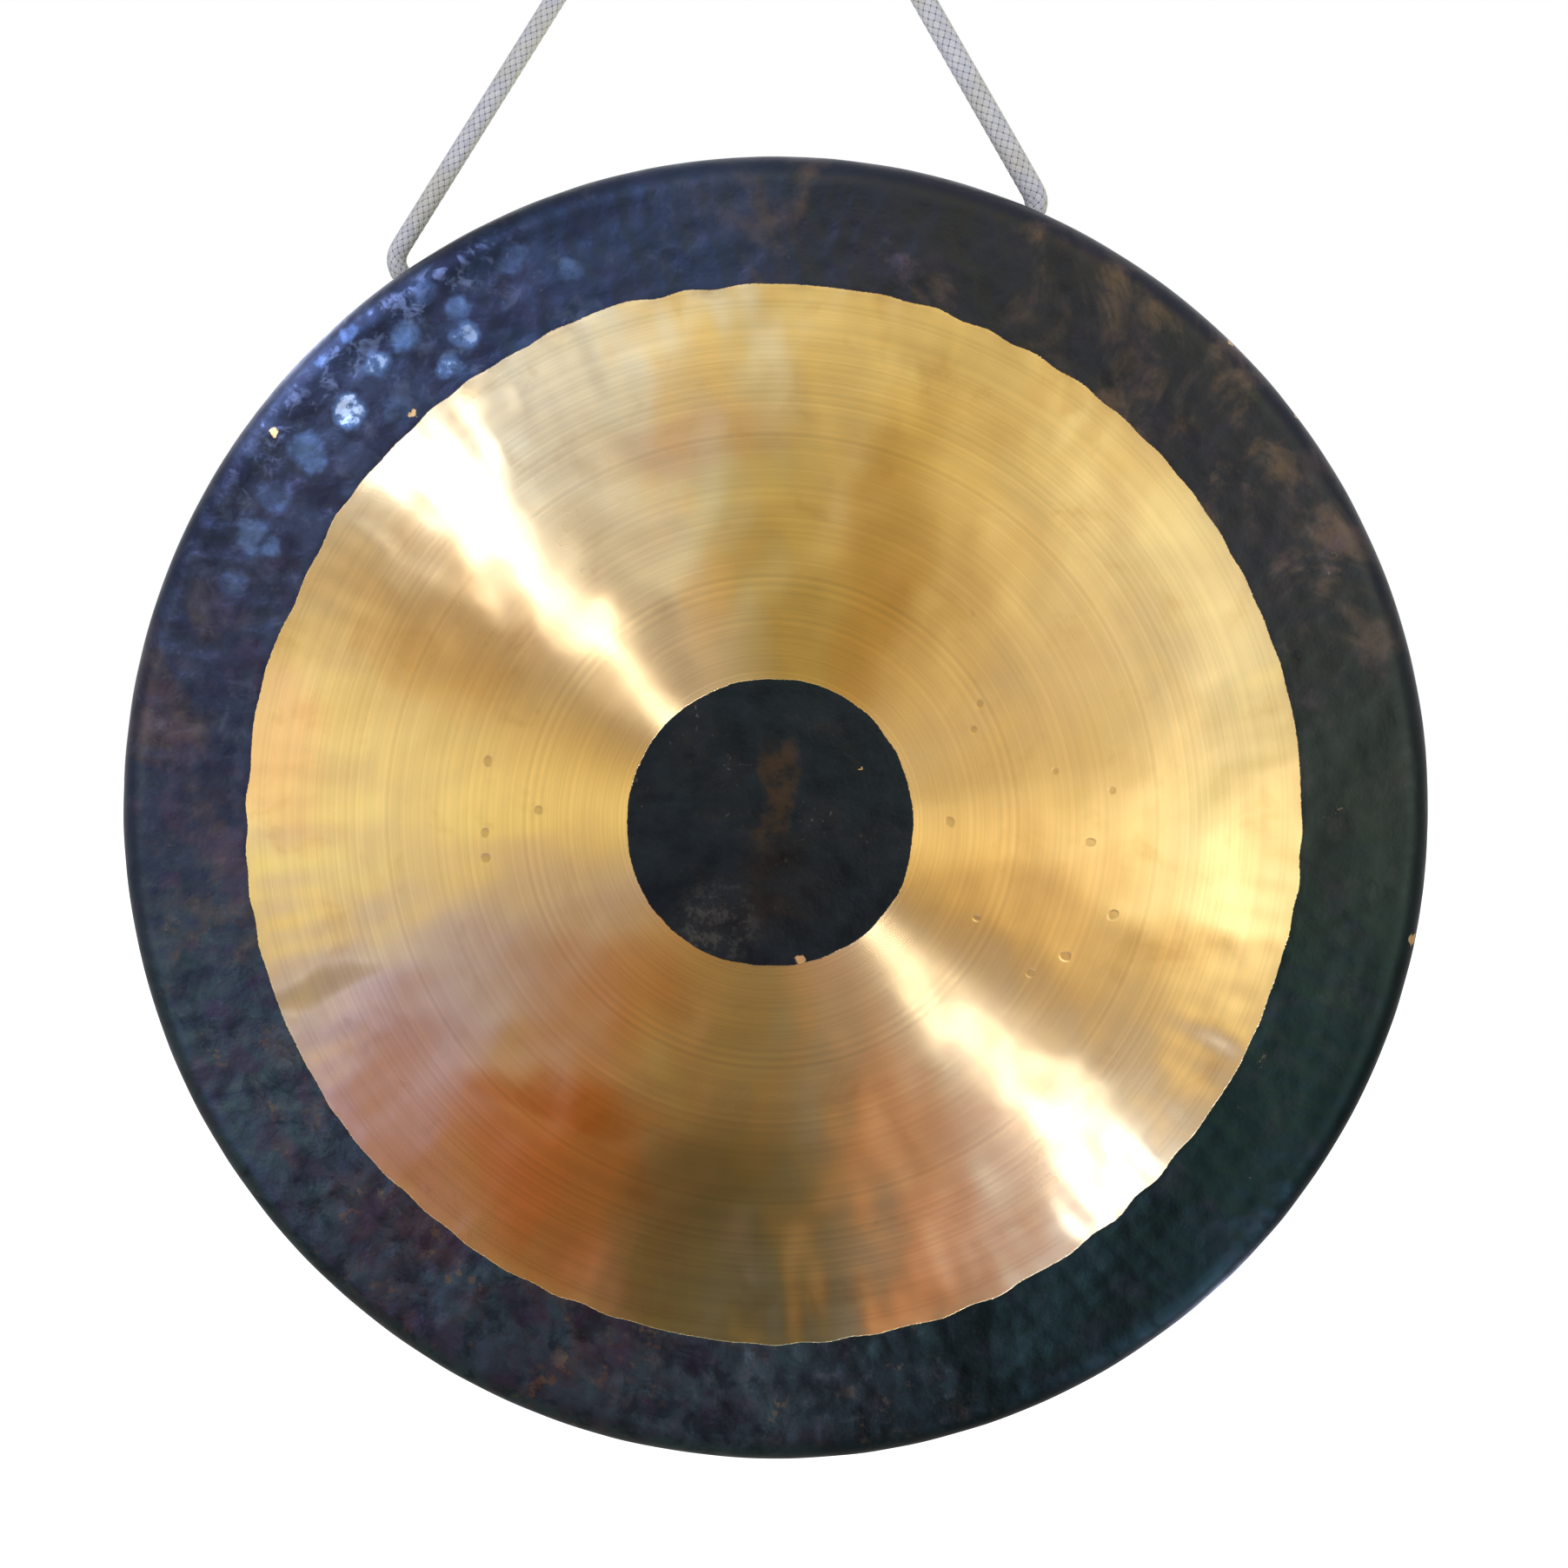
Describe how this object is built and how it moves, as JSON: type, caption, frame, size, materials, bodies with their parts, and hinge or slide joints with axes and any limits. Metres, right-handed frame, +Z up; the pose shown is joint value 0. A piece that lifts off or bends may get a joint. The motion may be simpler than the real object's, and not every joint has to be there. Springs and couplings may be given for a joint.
{
  "type": "hanging tam tam gong",
  "caption": "Hammered bronze gong with a turned-back rim, hung by a braided cotton cord with a knotted eye; it swings, twists and tilts on its cord.",
  "frame": {"origin": "the point where a hook or peg touches the inside of the hanging eye's crown", "axes": "+Z up, -Y the way the struck face looks, +X to the right of someone facing the gong; the cord and both rim holes lie in the plane y = 0"},
  "size_m": [0.508, 0.051, 0.7827],
  "materials": {
    "bronze": "hammered bronze, lathe-scraped bright between a black oxide centre spot and a black oxide edge band",
    "cord": "braided cotton, matt"
  },
  "bodies": {
    "hanger": {"hanging_eye": "cord"},
    "knot": {"eye_knot": "cord"},
    "cords": {"left_strand": "cord", "right_strand": "cord"},
    "gong": {"gong_plate": "bronze", "left_stopper_knot": "cord", "right_stopper_knot": "cord", "left_cord_tail": "cord", "right_cord_tail": "cord"}
  },
  "joints": [
    {"name": "cord_twist", "type": "hinge", "parent": "hanger", "child": "knot", "pos_m": [0, 0, -0.0584], "axis": [0, 0, 1], "range_deg": [-45, 45]},
    {"name": "cord_swing", "type": "hinge", "parent": "knot", "child": "cords", "pos_m": [0, 0, -0.1001], "axis": [1, 0, 0], "range_deg": [-30, 30]},
    {"name": "gong_tilt", "type": "hinge", "parent": "cords", "child": "gong", "pos_m": [-0.13988, 0, -0.30561], "axis": [0.9971, 0, 0.0759], "range_deg": [-40, 40]}
  ]
}
